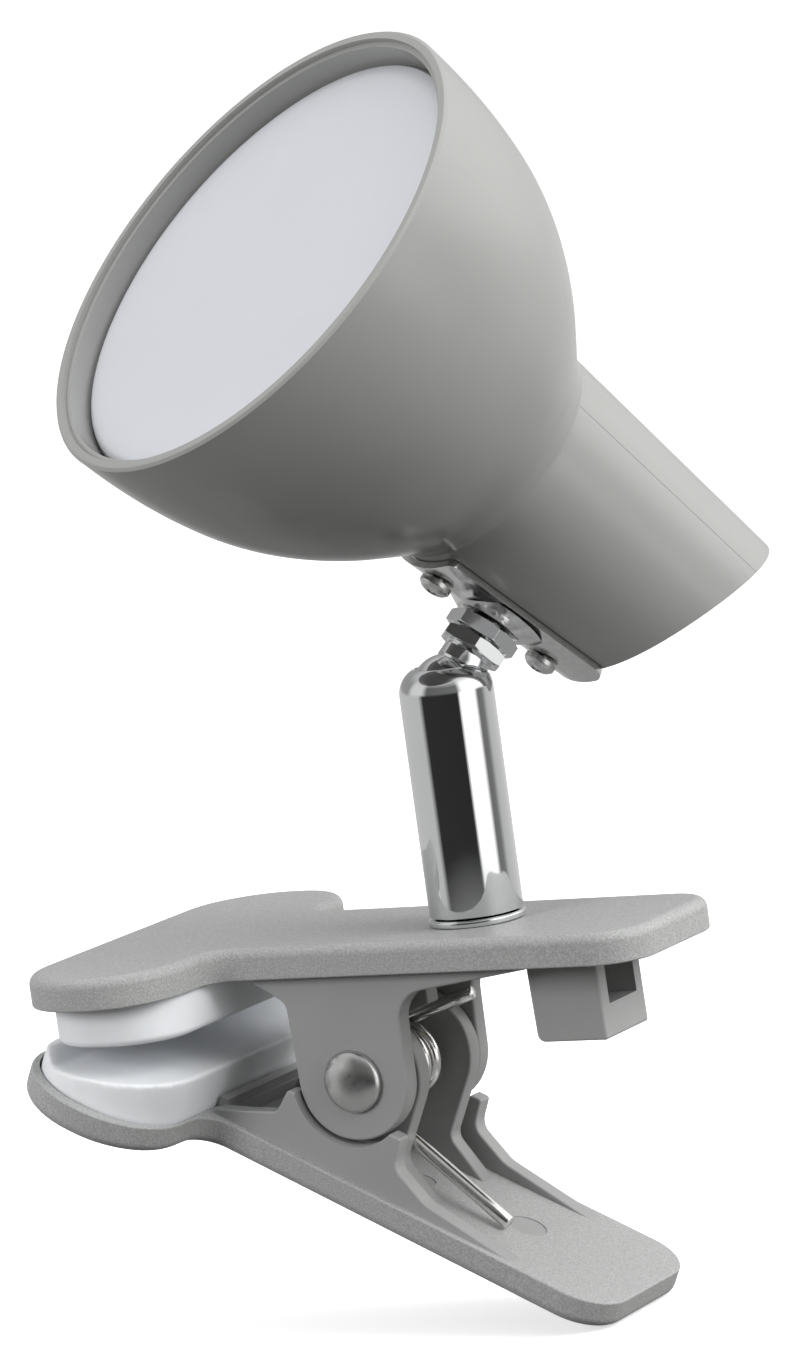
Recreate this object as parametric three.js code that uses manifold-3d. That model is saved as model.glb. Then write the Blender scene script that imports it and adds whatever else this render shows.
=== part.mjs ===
// Clip on reading lamp: a spring clip with a swivel post, a ball stud and a round shade.
// Millimetres, +Z up. The row origin is the centre of the upper jaw's gripping face.
// Clip coordinates have their origin where the post's axis meets the top of the clip,
// +X towards the handles, -X towards the jaws and +Z up the post.
import * as THREE from 'three';
import { mergeVertices } from 'three/addons/utils/BufferGeometryUtils.js';
import Module from 'manifold-3d';

const wasm = await Module();
wasm.setup();

const DEG = Math.PI / 180;
const GAP = 0.1;

// ---- driving dimensions -------------------------------------------------------------
const JAW_FACE = [-57, 0, -12.7];          // row origin, in clip coordinates

const ARM = {
  front: -72.7, back: 37.7,                // jaw edge and handle end
  headHalf: 38.8, neckX: -42.8,            // wide jaw and where it meets the handle
  handHalf: 17.2, endHalf: 17.6,           // handle half width at the jaw and at the end
  thick: 5.5, edge: 1.7,                   // plate and its rounded outer edge
  lowerBack: 36.8,                         // handle end of the lower arm
};
const RIVET = { x: -19.8, z: -23.9, r: 2.5, headR: 5.4, headH: 2.3 };
const EAR = { out: 14.6, in: 11.0, r: 10.3 };
const LOWER = { angle: 26.6, outer: -21.2, inner: -16.2 };
const INNER_EAR = { out: 10.7, in: 7.2, r: 10.7 };
const RAIL = { out: 16.2, in: 12.8, cut: 11.1 };
const BLOCK = { x0: 12.6, x1: 25.4, half: 7.7, bottom: -19.9, holeHalf: 5, holeZ: [-14.2, -6.6] };
const RECESS = { r: 7.6, top: -2.4 };         // below the plate, for the post's washer and nut
const STOP = { y0: 3.2, y1: 7.0 };           // underside stop for the spring's upper leg
const PAD = { half: 34.2, front: -69.9, back: -43.9, top: -4.1 };

const POST = { r: 8, wall: 1.0, base: 1.5, floor: 2.9, shoulder: 39.2, top: 43.9, mouth: 5.0 };
const BALL = { z: 39.7, r: 5.8, seat: 6.0 };
const POSE = { azimuth: 52.75, tilt: 44.5, twist: 187.8 };   // swivel, lean and turn of the head
const STUD = { neck: 4.35, thread: 3.9, bore: 1.8, hexR: 6.2, nutR: 6.5, end: 25.5 };

const SHADE = { axis: 35.8, rim: 76.3, neckR: 21.35, taper: 0.0508, wall: 2.0, crease: 57.8 };
const END = { middle: 100.25, slope: 0.424, curve: 0.00765 };  // slanted end of the neck
const DIFFUSER = { r: 41.2, face: 4.0, thick: 2.0, seat: 7.5 };
const BRACKET = { gap: 0.15, thick: 1.2, half: 8.3, x0: -20.0, x1: 17.0, screwX: 12.5 };

// ---- solid helpers ------------------------------------------------------------------
function solid(geometry) {
  const g = geometry.clone();
  for (const name of Object.keys(g.attributes)) {
    if (name !== 'position') g.deleteAttribute(name);
  }
  const m = mergeVertices(g, 1e-4);
  const index = m.index.array;
  const tris = [];
  for (let i = 0; i < index.length; i += 3) {
    const [a, b, c] = [index[i], index[i + 1], index[i + 2]];
    if (a !== b && b !== c && a !== c) tris.push(a, b, c);
  }
  return new wasm.Manifold(new wasm.Mesh({
    numProp: 3,
    vertProperties: new Float32Array(m.attributes.position.array),
    triVerts: new Uint32Array(tris),
  }));
}

function geometryOf(body) {
  const mesh = body.getMesh();
  const g = new THREE.BufferGeometry();
  g.setAttribute('position', new THREE.BufferAttribute(new Float32Array(mesh.vertProperties), 3));
  g.setIndex(new THREE.BufferAttribute(new Uint32Array(mesh.triVerts), 1));
  return g;
}

function join(...bodies) {
  return bodies.reduce((a, b) => a.add(b));
}

function cut(body, ...tools) {
  return tools.reduce((a, b) => a.subtract(b), body);
}

// a closed polygon whose corners are [x, y, radius]; sharp corners leave the radius out
function roundedPoints(corners, steps = 6) {
  const out = [];
  const n = corners.length;
  for (let i = 0; i < n; i += 1) {
    const [x, y, r = 0] = corners[i];
    const p = new THREE.Vector2(x, y);
    if (!r) {
      out.push(p);
      continue;
    }
    const before = new THREE.Vector2(...corners[(i + n - 1) % n].slice(0, 2)).sub(p).normalize();
    const after = new THREE.Vector2(...corners[(i + 1) % n].slice(0, 2)).sub(p).normalize();
    const half = Math.acos(THREE.MathUtils.clamp(before.dot(after), -1, 1)) / 2;
    const reach = r / Math.tan(half);
    const centre = before.clone().add(after).normalize().multiplyScalar(r / Math.sin(half)).add(p);
    const a = before.multiplyScalar(reach).add(p).sub(centre);
    const b = after.multiplyScalar(reach).add(p).sub(centre);
    const turn = Math.atan2(a.x * b.y - a.y * b.x, a.dot(b));
    for (let k = 0; k <= steps; k += 1) {
      out.push(a.clone().rotateAround(new THREE.Vector2(), (turn * k) / steps).add(centre));
    }
  }
  return out;
}

function shapeOf(corners, steps) {
  const pts = roundedPoints(corners, steps);
  if (THREE.ShapeUtils.area(pts) < 0) pts.reverse();
  return new THREE.Shape(pts);
}

// prism of an XY outline between two heights
function prismZ(corners, z0, z1, steps) {
  const g = new THREE.ExtrudeGeometry(shapeOf(corners, steps), { depth: z1 - z0, bevelEnabled: false });
  g.translate(0, 0, z0);
  return g;
}

// the same with a rounded edge of radius r at both ends
function softPrismZ(corners, z0, z1, r, steps, rings = 2) {
  const g = new THREE.ExtrudeGeometry(shapeOf(corners, steps), {
    depth: z1 - z0 - 2 * r, bevelEnabled: true, bevelThickness: r, bevelSize: r, bevelOffset: -r,
    bevelSegments: rings,
  });
  g.translate(0, 0, z0 + r);
  return g;
}

// prism of an XZ outline between two Y positions
function prismY(corners, y0, y1, steps) {
  const g = new THREE.ExtrudeGeometry(shapeOf(corners, steps), { depth: y1 - y0, bevelEnabled: false });
  g.rotateX(Math.PI / 2);
  g.translate(0, y1, 0);
  return g;
}

// solid of revolution about Z from closed [radius, z] corners
function turned(profile, segments = 28) {
  const pts = profile.map(([r, z]) => new THREE.Vector2(Math.max(r, 0), z));
  if (THREE.ShapeUtils.area(pts) < 0) pts.reverse();
  pts.push(pts[0].clone());
  const g = new THREE.LatheGeometry(pts, segments);
  g.rotateX(Math.PI / 2);
  const body = solid(g);
  if (body.volume() > 0) return body;
  return solid(flipped(g));
}

function flipped(g) {
  const f = g.index ? g.clone() : mergeVertices(g);
  const a = f.index.array;
  for (let i = 0; i < a.length; i += 3) {
    [a[i], a[i + 1]] = [a[i + 1], a[i]];
  }
  return f;
}

function cylinderZ(r, z0, z1, x = 0, y = 0, segments = 24) {
  const g = new THREE.CylinderGeometry(r, r, z1 - z0, segments);
  g.rotateX(Math.PI / 2);
  g.translate(x, y, (z0 + z1) / 2);
  return solid(g);
}

function cylinderY(r, y0, y1, x, z, segments = 24) {
  const g = new THREE.CylinderGeometry(r, r, y1 - y0, segments);
  g.translate(x, (y0 + y1) / 2, z);
  return solid(g);
}

function cylinderX(r, x0, x1, y, z, segments = 24) {
  const g = new THREE.CylinderGeometry(r, r, x1 - x0, segments);
  g.rotateZ(Math.PI / 2);
  g.translate((x0 + x1) / 2, y, z);
  return solid(g);
}

function box(x0, x1, y0, y1, z0, z1) {
  const g = new THREE.BoxGeometry(x1 - x0, y1 - y0, z1 - z0);
  g.translate((x0 + x1) / 2, (y0 + y1) / 2, (z0 + z1) / 2);
  return solid(g);
}

function hexZ(cornerR, z0, z1) {
  return cylinderZ(cornerR, z0, z1, 0, 0, 6);
}

// round wire along a list of points
function wire(points, r, steps, sides = 6, tension = 0.5) {
  const curve = new THREE.CatmullRomCurve3(points, false, 'catmullrom', tension);
  const ring = [];
  for (let i = 0; i < sides; i += 1) {
    const a = (i / sides) * 2 * Math.PI;
    ring.push(new THREE.Vector2(r * Math.cos(a), r * Math.sin(a)));
  }
  return new THREE.ExtrudeGeometry(new THREE.Shape(ring), {
    steps, extrudePath: curve, bevelEnabled: false,
  });
}

// ---- placing ------------------------------------------------------------------------
const clipToRow = new THREE.Matrix4().makeTranslation(-JAW_FACE[0], -JAW_FACE[1], -JAW_FACE[2]);

function lowerArmToRow() {
  return clipToRow.clone()
    .multiply(new THREE.Matrix4().makeTranslation(RIVET.x, 0, RIVET.z))
    .multiply(new THREE.Matrix4().makeRotationY(LOWER.angle * DEG));
}

function postToRow() {
  return clipToRow.clone().multiply(new THREE.Matrix4().makeRotationZ(POSE.azimuth * DEG));
}

function studToRow() {
  return postToRow()
    .multiply(new THREE.Matrix4().makeTranslation(0, 0, BALL.z))
    .multiply(new THREE.Matrix4().makeRotationY(POSE.tilt * DEG));
}

// head coordinates: origin at the ball, +Z along the stud, +X towards the shade's rim
function headToRow() {
  return studToRow().multiply(new THREE.Matrix4().makeRotationZ(POSE.twist * DEG));
}

// shade coordinates: +Z from the rim back along the shade's axis
function shadeToRow() {
  return headToRow()
    .multiply(new THREE.Matrix4().makeTranslation(SHADE.rim, 0, SHADE.axis))
    .multiply(new THREE.Matrix4().makeRotationY(-90 * DEG));
}

// ---- clip ---------------------------------------------------------------------------
function armOutline(dx = 0, back = ARM.back) {
  const a = ARM;
  const half = [
    [a.front + dx, a.headHalf, 15],
    [a.neckX - 0.6 + dx, a.headHalf, 13.5],
    [a.neckX + dx, a.handHalf, 5],
    [back + dx, a.endHalf, 8.5],
  ];
  return half.concat(half.map(([x, y, r]) => [x, -y, r]).reverse());
}

function padOutline(grow = 0, dx = 0, back = PAD.back + grow) {
  const half = [
    [PAD.front - grow + dx, PAD.half + grow, 12 + grow],
    [back + dx, PAD.half + grow, 10 + grow],
  ];
  return half.concat(half.map(([x, y, r]) => [x, -y, r]).reverse());
}

function upperEar(side) {
  const { x, z } = RIVET;
  const r = EAR.r;
  const corners = [
    [-39.5, -5.0],
    [-31.2, -10.2, 2.5],
    [x - r, z - r, r - 0.05],
    [x + r, z - r, r - 0.05],
    [x + r + 0.2, -9.6, 5.5],
    [15.5, -6.2],
    [15.5, -5.0],
  ];
  const y0 = side > 0 ? EAR.in : -EAR.out;
  return solid(prismY(corners, y0, y0 + EAR.out - EAR.in, 9));
}

function upperArm() {
  const plate = cut(
    solid(softPrismZ(armOutline(), -9, 0, ARM.edge, 6)),
    box(-90, 60, -60, 60, -12, -ARM.thick),
  );
  const padSeat = solid(prismZ(padOutline(0.2), -7, PAD.top + GAP, 6));
  const tunnel = box(
    BLOCK.x0 - 2, BLOCK.x1 + 2, -BLOCK.holeHalf, BLOCK.holeHalf, BLOCK.holeZ[0], BLOCK.holeZ[1],
  );
  const block = solid(prismY([
    [BLOCK.x0 - 0.6, -5.0],
    [BLOCK.x0, BLOCK.bottom, 1.4],
    [BLOCK.x1 + 0.3, BLOCK.bottom, 0.5],
    [BLOCK.x1, -5.0],
  ], -BLOCK.half, BLOCK.half, 4));
  const stop = solid(prismY([
    [-12.2, -5], [-12.2, -14.3], [-7.8, -12.7], [-7.8, -5],
  ], STOP.y0, STOP.y1));
  const body = join(plate, upperEar(1), upperEar(-1), block, stop);
  return cut(
    body,
    padSeat,
    tunnel,
    cylinderZ(5.35, -20, 2, 0, 0, 32),
    cylinderZ(RECESS.r, -6, RECESS.top, 0, 0, 40),
    cylinderY(RIVET.r + 0.2, -20, 20, RIVET.x, RIVET.z, 32),
  );
}

function rail(side) {
  const c = RAIL.cut;
  const corners = [
    [-23.5, LOWER.inner - 1],
    [-22.4, -15.3],
    [-16.9, -13.2, 2],
    [-11.4, -10.8, 1.5],
    [-10.6, -6.2, 0.8],
    [-6, -6.2],
    [6, -5.2],
    [11.9, -5.2, 0.5],
    [12.2, -10.4, 3],
    [19.5, -13.9, 6],
    [38.5, LOWER.inner - 0.1],
    [38.5, LOWER.inner - 1],
  ];
  const y0 = side > 0 ? RAIL.in : -RAIL.out;
  const wall = solid(prismY(corners, y0, y0 + RAIL.out - RAIL.in, 4));
  return cut(wall, cylinderY(c, y0 - 1, y0 + 6, 0, 0, 44));
}

function innerEar(side) {
  const r = INNER_EAR.r;
  const corners = [
    [-r - 6, LOWER.inner - 1],
    [-r - 6, LOWER.inner],
    [-r, LOWER.inner, 5],
    [-r, r, r - 0.05],
    [r, r, r - 0.05],
    [r, -11.5, 2.5],
    [r + 8.5, LOWER.inner],
    [r + 8.5, LOWER.inner - 1],
  ];
  const y0 = side > 0 ? INNER_EAR.in : -INNER_EAR.out;
  return solid(prismY(corners, y0, y0 + INNER_EAR.out - INNER_EAR.in, 10));
}

// built with the rivet's axis as Y and the plate level
function lowerArm() {
  const dx = -RIVET.x;
  const plate = cut(
    solid(softPrismZ(armOutline(dx, ARM.lowerBack), LOWER.outer, LOWER.outer + 9, ARM.edge, 6)),
    box(-90, 90, -60, 60, LOWER.inner, 0),
  );
  const tray = solid(prismZ(padOutline(2.3, dx, PAD.back + 0.4), LOWER.outer + 2.2, -10, 6));
  const pocket = solid(prismZ([
    [-21.9, 12.2, 1], [-21.9, -12.2, 1], [-15.5, -12.2, 1], [-15.5, 12.2, 1],
  ], LOWER.outer + 2.2, -10, 3));
  const wall = box(-23.6, -22.1, -13.2, 13.2, LOWER.outer + 2, -14.2);
  const floor = cut(plate, tray, pocket);
  const body = join(floor, wall, rail(1), rail(-1), innerEar(1), innerEar(-1));
  return cut(body, cylinderY(RIVET.r + 0.08, -20, 20, 0, 0, 32));
}

function upperPad() {
  return cut(
    solid(softPrismZ(padOutline(), JAW_FACE[2], PAD.top + 3, 1.2, 6)),
    box(-90, 0, -60, 60, PAD.top, 0),
  );
}

// the lower pad is 0.2 mm clear of its tray; its front lip closes on the upper pad
function lowerPad() {
  const dx = -RIVET.x;
  const body = solid(softPrismZ(padOutline(1.9, dx, PAD.back), LOWER.outer + 2.3, 4, 1.2, 6));
  const keep = solid(prismY([
    [-80, -60], [-80, -13.0], [-69.6, -13.0], [-66.8, -15.9], [-43, -20.8], [-38, -60],
  ], -60, 60, 1).applyMatrix4(clipToArm()));
  return body.intersect(keep);
}

function clipToArm() {
  return new THREE.Matrix4().makeRotationY(-LOWER.angle * DEG)
    .multiply(new THREE.Matrix4().makeTranslation(-RIVET.x, 0, -RIVET.z));
}

function rivetPin() {
  const h = RIVET;
  const face = EAR.out + GAP;
  const dome = [];
  for (let i = 0; i <= 4; i += 1) {
    const a = (i / 4) * 90 * DEG;
    dome.push([h.headR * Math.cos(a), -face - 0.5 - (h.headH - 0.5) * Math.sin(a)]);
  }
  return turned([[h.r, 15.4], [h.r, -face], [h.headR, -face], ...dome, [0, 15.4]], 28);
}

function rivetCap() {
  const face = EAR.out + GAP;
  return turned([
    [2.62, face], [4.9, face], [4.9, face + 0.7], [3.6, face + 1.7], [0, face + 2.0],
    [0, face + 1.1], [2.62, face + 1.1],
  ], 24);
}

function ontoY(body) {
  const g = geometryOf(body);
  g.rotateX(-Math.PI / 2);
  g.translate(RIVET.x, 0, RIVET.z);
  return solid(g);
}

const COIL = { r: 5.75, wire: 1.06, half: 6.0 };

function torsionSpring() {
  const { x, z } = RIVET;
  const arm = new THREE.Matrix4().makeTranslation(x, 0, z)
    .multiply(new THREE.Matrix4().makeRotationY(LOWER.angle * DEG));
  const lowEnd = new THREE.Vector3(31.2, 0, LOWER.inner + COIL.wire + 0.2).applyMatrix4(arm);
  const topEnd = new THREE.Vector3(-6.3, 0, -13.45);
  const low = tangentAngle(lowEnd.x - x, lowEnd.z - z, -1);
  const top = tangentAngle(topEnd.x - x, topEnd.z - z, 1) - 12 * Math.PI;
  const points = [];
  const at = (a, y) => new THREE.Vector3(x + COIL.r * Math.cos(a), y, z + COIL.r * Math.sin(a));
  const legIn = (end, a, y, k) => at(a, y).lerp(new THREE.Vector3(end.x, y, end.z), k);
  for (const k of [1, 0.75, 0.5, 0.25, 0.08]) points.push(legIn(lowEnd, low, -COIL.half, k));
  const turns = 64;
  for (let i = 0; i <= turns; i += 1) {
    const f = i / turns;
    points.push(at(low + (top - low) * f, -COIL.half + 2 * COIL.half * f));
  }
  for (const k of [0.08, 0.25, 0.5, 0.75, 1]) points.push(legIn(topEnd, top, COIL.half, k));
  return solid(wire(points, COIL.wire, 84, 6));
}

// angle of the point where a straight leg to (dx, dz) leaves the coil, above or below it
function tangentAngle(dx, dz, side) {
  const d = Math.hypot(dx, dz);
  return Math.atan2(dz, dx) + side * Math.acos(COIL.r / d);
}

// ---- post ---------------------------------------------------------------------------
function postSleeve() {
  return turned([
    [3.4, -5.3], [5.2, -5.3], [5.2, POST.floor + GAP], [6.6, POST.floor + GAP],
    [6.6, POST.floor + 1.6], [3.4, POST.floor + 1.6],
  ], 24);
}

function postWasher() {
  return turned([[5.35, -3.3], [7.2, -3.3], [7.2, RECESS.top - GAP], [5.35, RECESS.top - GAP]], 24);
}

function postNut() {
  return cut(hexZ(7.2, -5.4, -3.4), cylinderZ(5.3, -20, 0, 0, 0, 32));
}

function baseRing() {
  return turned([[5.4, GAP], [8.3, GAP], [8.3, 1.1], [8.0, 1.4], [5.4, 1.4]], 36);
}

function arcProfile(cx, cz, r, a0, a1, steps) {
  const out = [];
  for (let i = 0; i <= steps; i += 1) {
    const a = (a0 + ((a1 - a0) * i) / steps) * DEG;
    out.push([cx + r * Math.cos(a), cz + r * Math.sin(a)]);
  }
  return out;
}

function postTube() {
  const inner = POST.r - POST.wall;
  const mouth = Math.acos(POST.mouth / BALL.seat) / DEG;
  const tube = turned([
    [5.28, POST.base],
    [POST.r - 0.4, POST.base],
    [POST.r, POST.base + 0.4],
    ...arcProfile(POST.r - 4.7, POST.shoulder, 4.7, 0, 62, 5),
    [POST.mouth + 0.15, POST.top - 0.35],
    ...arcProfile(0, BALL.z, BALL.seat, mouth, 8, 4),
    [inner, POST.shoulder - 1.5],
    [inner, POST.floor],
    [5.28, POST.floor],
  ], 36);
  return cut(tube, slotTool());
}

// the path of the stud's neck as it leans over the lip, built on the ball's centre
function slotTool() {
  const lean = (POSE.tilt + 4.5) * DEG;
  const w = STUD.neck + 0.3;
  const far = 16;
  const sector = solid(prismY([
    [0, 0], [0, far], [far * Math.sin(lean / 2) * 1.2, far * Math.cos(lean / 2) * 1.2],
    [far * Math.sin(lean), far * Math.cos(lean)],
  ], -w, w, 1));
  const g = new THREE.CylinderGeometry(w, w, far, 32);
  g.rotateX(Math.PI / 2);
  g.translate(0, 0, far / 2);
  g.rotateY(lean);
  const tool = geometryOf(join(sector, solid(g)));
  tool.translate(0, 0, BALL.z);
  return solid(tool);
}

function frictionCup() {
  const r = POST.r - POST.wall - 0.15;
  const seat = arcProfile(0, BALL.z, BALL.r + 0.1, -25, -68, 4);
  return turned([
    [r - 0.2, BALL.z - 2.6], ...seat, [2.2, BALL.z - 9.5], [r - 0.6, BALL.z - 9.5],
    [r, BALL.z - 9.0], [r, BALL.z - 3.0],
  ], 24);
}

function postSpring() {
  const low = POST.floor + 1.6 + 0.8;
  const high = BALL.z - 9.5 - 0.8;
  const points = [];
  const n = 6 * 12;
  for (let i = 0; i <= n; i += 1) {
    const a = (i / 12) * 2 * Math.PI;
    points.push(new THREE.Vector3(5.2 * Math.cos(a), 5.2 * Math.sin(a), low + ((high - low) * i) / n));
  }
  return solid(wire(points, 0.6, 60, 5));
}

// ---- stud ---------------------------------------------------------------------------
function ballStud() {
  const s = STUD;
  const ball = arcProfile(0, 0, BALL.r, -70, 44, 8);
  const body = turned([
    [s.bore, -5.45], ...ball, [s.neck + 0.1, 4.5], [s.neck, 5.2], [s.neck, 8.0], [s.thread, 8.6],
    [s.thread, s.end - 0.6], [s.thread - 0.6, s.end], [s.bore, s.end],
  ], 28);
  return cut(join(body, hexZ(s.hexR, 7.2, 9.5)), cylinderZ(s.bore, 6, 12, 0, 0, 28));
}

function lockNut() {
  return cut(hexZ(STUD.nutR, 9.9, 12.5), cylinderZ(STUD.thread + 0.05, 5, 15, 0, 0, 28));
}

function endWasher() {
  return turned([[4.05, 19.7], [7.2, 19.7], [7.2, 20.7], [4.05, 20.7]], 24);
}

function endNut() {
  return cut(hexZ(7.4, 20.8, 24.0), cylinderZ(STUD.thread + 0.05, 15, 30, 0, 0, 28));
}

// ---- head ---------------------------------------------------------------------------
// outer radius of the neck at t behind the rim
function neckRadius(t) {
  return SHADE.neckR - SHADE.taper * (t - 61);
}

// tapered ring round the neck, in head coordinates
function neckRing(r0, r1, x0, x1) {
  const [t0, t1] = [SHADE.rim - x1, SHADE.rim - x0];
  const ring = turned([
    [neckRadius(t0) + r0, t0], [neckRadius(t0) + r1, t0], [neckRadius(t1) + r1, t1],
    [neckRadius(t1) + r0, t1],
  ], 72);
  const g = geometryOf(ring);
  g.applyMatrix4(headToShade().invert());
  return solid(g);
}

function neckFace(x) {
  return SHADE.axis - neckRadius(SHADE.rim - x);
}

function bracket() {
  const b = BRACKET;
  const sleeve = neckRing(b.gap, b.gap + b.thick, b.x0, b.x1);
  const plan = solid(prismZ([
    [b.x0, b.half, 2.6], [b.x1, b.half, 1.4], [b.x1, -b.half, 1.4], [b.x0, -b.half, 2.6],
  ], 8, SHADE.axis - 10, 6));
  const strip = sleeve.intersect(plan);
  const boss = cylinderZ(7.2, neckFace(0) - b.thick - 1.2, neckFace(0) - b.gap - 0.2, 0, 0, 32);
  const hug = neckRing(-8, b.gap, b.x0 - 1, b.x1 + 1);
  const holes = [-1, 1].map((s) => cylinderZ(1.6, 8, 24, s * b.screwX, 0, 16));
  return cut(join(strip, boss), hug, cylinderZ(STUD.thread + 0.08, 8, 24, 0, 0, 40), ...holes);
}

function bracketScrew(side) {
  const z = neckFace(side * BRACKET.screwX) - BRACKET.gap - BRACKET.thick - 0.5;
  const x = side * BRACKET.screwX;
  const head = turned([
    [1.2, 22], [1.2, z], [2.8, z], [2.8, z - 1.0], [2.2, z - 1.8], [1.0, z - 2.1], [0, z - 2.1],
    [0, 22],
  ], 20);
  const slots = [
    box(-1.6, 1.6, -0.35, 0.35, z - 3, z - 1.1),
    box(-0.35, 0.35, -1.6, 1.6, z - 3, z - 1.1),
  ];
  const g = geometryOf(cut(head, ...slots));
  g.translate(x, 0, 0);
  return solid(g);
}

// outer radius of the shade behind the rim
const DOME = [
  [0.5, 44.2], [6, 43.95], [12, 43.4], [20, 42.1], [28, 40.0], [34, 37.6], [40, 34.4],
  [46, 30.4], [51, 26.4], [55, 23.0],
];

function outsideProfile(inset = 0, start = 0) {
  const s = SHADE;
  const far = 118;
  return [
    ...(start ? [[42, start]] : [[43.7, 0]]),
    ...DOME.filter(([t]) => t > start).map(([t, r]) => [r - inset, t]),
    [21.75 - inset, s.crease - 0.5], [21.45 - inset, s.crease + 0.5],
    [neckRadius(61) - inset, 61], [neckRadius(far) - inset, far], [0, far],
  ];
}

function insideProfile() {
  const far = 118;
  return [
    [0, 0.0 - 1], [42.4, -1], [42.4, 1.0], [41.45, 1.0], [41.45, DIFFUSER.seat],
    [39.6, DIFFUSER.seat], [39.4, 19.4], [35.6, 33.6], [28.4, 45.6], [20.2, 56.2],
    [neckRadius(60.5) - SHADE.wall - 0.1, 60.5], [neckRadius(far) - SHADE.wall, far], [0, far],
  ];
}

// everything behind the slanted end face, moved by shift along the axis
function endTool(shift = 0) {
  const corners = [];
  for (let i = 0; i <= 14; i += 1) {
    const x = -24.5 + (49 * i) / 14;
    corners.push([x, END.middle + END.slope * x + END.curve * x * x + shift]);
  }
  corners.push([24.5, 130], [-24.5, 130]);
  return solid(prismY(corners, -30, 30, 1));
}

function inShade(body) {
  const g = geometryOf(body);
  g.applyMatrix4(headToShade());
  return solid(g);
}

function headToShade() {
  return new THREE.Matrix4().makeRotationY(90 * DEG)
    .multiply(new THREE.Matrix4().makeTranslation(-SHADE.rim, 0, -SHADE.axis));
}

const BOARD = { z: 37.0, thick: 1.5, half: 14.5, x0: -22, x1: 14 };

function shadeShell() {
  const outside = cut(turned([[0, 0], ...outsideProfile()], 44), endTool());
  const cavity = cut(turned(insideProfile(), 44), endTool(-2.2));
  const within = cut(turned([[0, 10], ...outsideProfile(0.6, 10)], 44), endTool(-1));
  const added = [
    inShade(box(-8, 8, -8, 8, 14, 19.6)),
    ...[-1, 1].map((s) => inShade(cylinderZ(3.4, 14, 23.5, s * BRACKET.screwX, 0, 20))),
    ...[-1, 1].map((s) => inShade(box(BOARD.x0 - 2, BOARD.x1, s > 0 ? 13.2 : -20,
      s > 0 ? 20 : -13.2, BOARD.z - 1.7, BOARD.z - GAP))),
    ...[-1, 1].map((s) => cylinderZ(3.2, 26, 50, s * 28, 0, 20)),
  ];
  const ribs = join(...added).intersect(within);
  const holes = [
    inShade(cylinderZ(STUD.thread + 0.15, 8, 24, 0, 0, 32)),
    ...[-1, 1].map((s) => inShade(cylinderZ(1.3, 8, 22.6, s * BRACKET.screwX, 0, 16))),
    ...[-1, 1].map((s) => cylinderZ(1.3, 20, 40, s * 28, 0, 16)),
  ];
  return cut(join(cut(outside, cavity), ribs), ...holes);
}

function diffuser() {
  const d = DIFFUSER;
  return turned([
    [0, d.face], [d.r - 0.5, d.face], [d.r, d.face + 0.5], [d.r, d.seat - GAP],
    [d.r - 1.4, d.seat - GAP], [d.r - 1.4, d.face + d.thick], [0, d.face + d.thick],
  ], 48);
}

const LEADS = [[-2, 8], [2, 8]];

function ledBoard() {
  const holes = [-1, 1].map((s) => cylinderZ(1.6, 20, 25, s * 28, 0, 16));
  return cut(cylinderZ(34, 22, 23.6, 0, 0, 32), ...holes, cylinderZ(4.2, 20, 25, 0, 8, 20));
}

function heatSpreader() {
  const holes = [-1, 1].map((s) => cylinderZ(1.6, 20, 30, s * 28, 0, 16));
  return cut(cylinderZ(37, 23.8, 25.8, 0, 0, 32), ...holes, cylinderZ(4.2, 20, 30, 0, 8, 20));
}

function ledChip(i) {
  const a = (i / 8) * 2 * Math.PI + Math.PI / 8;
  const r = i < 8 ? 20 : 0;
  const g = new THREE.BoxGeometry(3.5, 2.8, 0.8);
  g.translate(0, 0, 21.45);
  g.rotateZ(a);
  g.translate(r * Math.cos(a), r * Math.sin(a), 0);
  return solid(g);
}

function boardScrew(side) {
  const g = geometryOf(turned([
    [0, 19.9], [2.0, 20.2], [2.6, 21.2], [2.6, 21.9], [1.2, 21.9], [1.2, 36], [0, 36],
  ], 14));
  g.translate(side * 28, 0, 0);
  return solid(g);
}

function leadWire(k) {
  const [x, y] = LEADS[k];
  const s = k ? 1 : -1;
  const points = [[s * 4.5, 12.5, 20.9], [s * 3.2, 10.4, 20.6], [x, y + 0.6, 22], [x, y, 27],
    [s * 3.5, 7, 40], [s * 4, 4.2, 52], [s * 4, 3.6, 60.4]]
    .map((p) => new THREE.Vector3(...p));
  return solid(wire(points, 0.6, 18, 5));
}

// ---- driver in the neck, in head coordinates -----------------------------------------
function driverBoard() {
  return box(BOARD.x0, BOARD.x1, -BOARD.half, BOARD.half, BOARD.z, BOARD.z + BOARD.thick);
}

function onBoard(z) {
  return BOARD.z + BOARD.thick + GAP + z;
}

function inductor() {
  const g = geometryOf(turned([
    [0, 0], [5, 0], [5, 1], [4, 1.3], [4, 6.2], [5, 6.5], [5, 7.5], [0, 7.5],
  ], 24));
  g.translate(-13, -4, onBoard(0));
  return solid(g);
}

function capacitor() {
  return cylinderX(3.6, -6, 8, 5, onBoard(3.6), 24);
}

function bridgeChip() {
  return box(-2, 4, -9, -4, onBoard(0), onBoard(2.4));
}

function fuseResistor() {
  return cylinderX(1.5, -19, -9, 7, onBoard(1.6), 16);
}

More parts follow.
